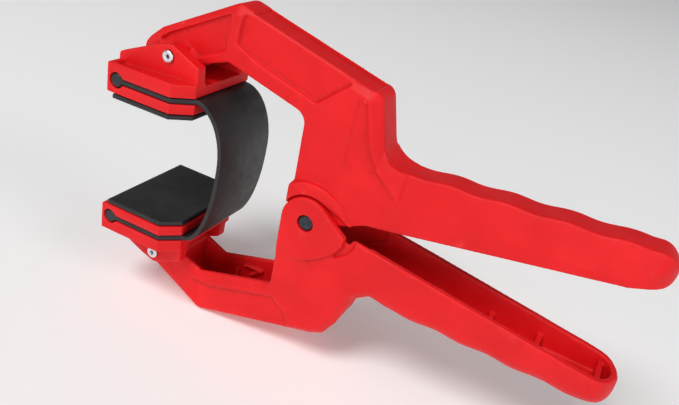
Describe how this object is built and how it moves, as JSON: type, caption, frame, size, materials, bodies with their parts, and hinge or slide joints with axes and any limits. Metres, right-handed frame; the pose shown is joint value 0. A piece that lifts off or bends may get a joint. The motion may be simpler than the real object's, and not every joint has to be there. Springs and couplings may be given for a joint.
{
  "type": "spring clamp",
  "caption": "Plastic lever spring clamp with swivelling jaw heads on rivets and a wide rubber edge band strung between the jaws.",
  "frame": {"origin": "on the lower jaw's pad face, in the middle of the jaw's length and width", "axes": "+X towards the handles, +Y across the clamp along the pins, +Z out of the lower pad face towards the upper jaw"},
  "size_m": [0.1832, 0.042, 0.1153],
  "materials": {
    "red_nylon": "satin moulded, fine grain",
    "black_rubber": "matte",
    "dark_steel": "blackened",
    "zinc_plate": "bright zinc plated",
    "spring_steel": "drawn wire"
  },
  "bodies": {
    "lower_lever": {"lower_lever": "red_nylon", "pivot_pin": "dark_steel", "torsion_spring": "spring_steel", "edge_band": "black_rubber"},
    "upper_lever": {"upper_lever": "red_nylon"},
    "upper_jaw": {"upper_jaw": "red_nylon", "upper_jaw_pad": "black_rubber", "upper_jaw_rivet": "zinc_plate"},
    "lower_jaw": {"lower_jaw": "red_nylon", "lower_jaw_pad": "black_rubber", "lower_jaw_rivet": "zinc_plate"}
  },
  "joints": [
    {"name": "lever_hinge", "type": "hinge", "parent": "lower_lever", "child": "upper_lever", "pos_m": [0.0588, 0, 0.0158], "axis": [0, 1, 0], "range_deg": [-35.5, 13], "stiffness_Nm_per_rad": 3.5, "deforming": ["edge_band", "torsion_spring"]},
    {"name": "upper_jaw_swivel", "type": "hinge", "parent": "upper_lever", "child": "upper_jaw", "pos_m": [0.0032, 0, 0.0561], "axis": [0, 1, 0], "range_deg": [-6.5, 17.75]},
    {"name": "lower_jaw_swivel", "type": "hinge", "parent": "lower_lever", "child": "lower_jaw", "pos_m": [0.0032, 0, -0.0181], "axis": [0, 1, 0], "range_deg": [-17.75, 6.5]}
  ],
  "couplings": [
    {"joint": "upper_jaw_swivel", "follows": "lever_hinge", "ratio": -0.5},
    {"joint": "lower_jaw_swivel", "follows": "lever_hinge", "ratio": 0.5}
  ]
}
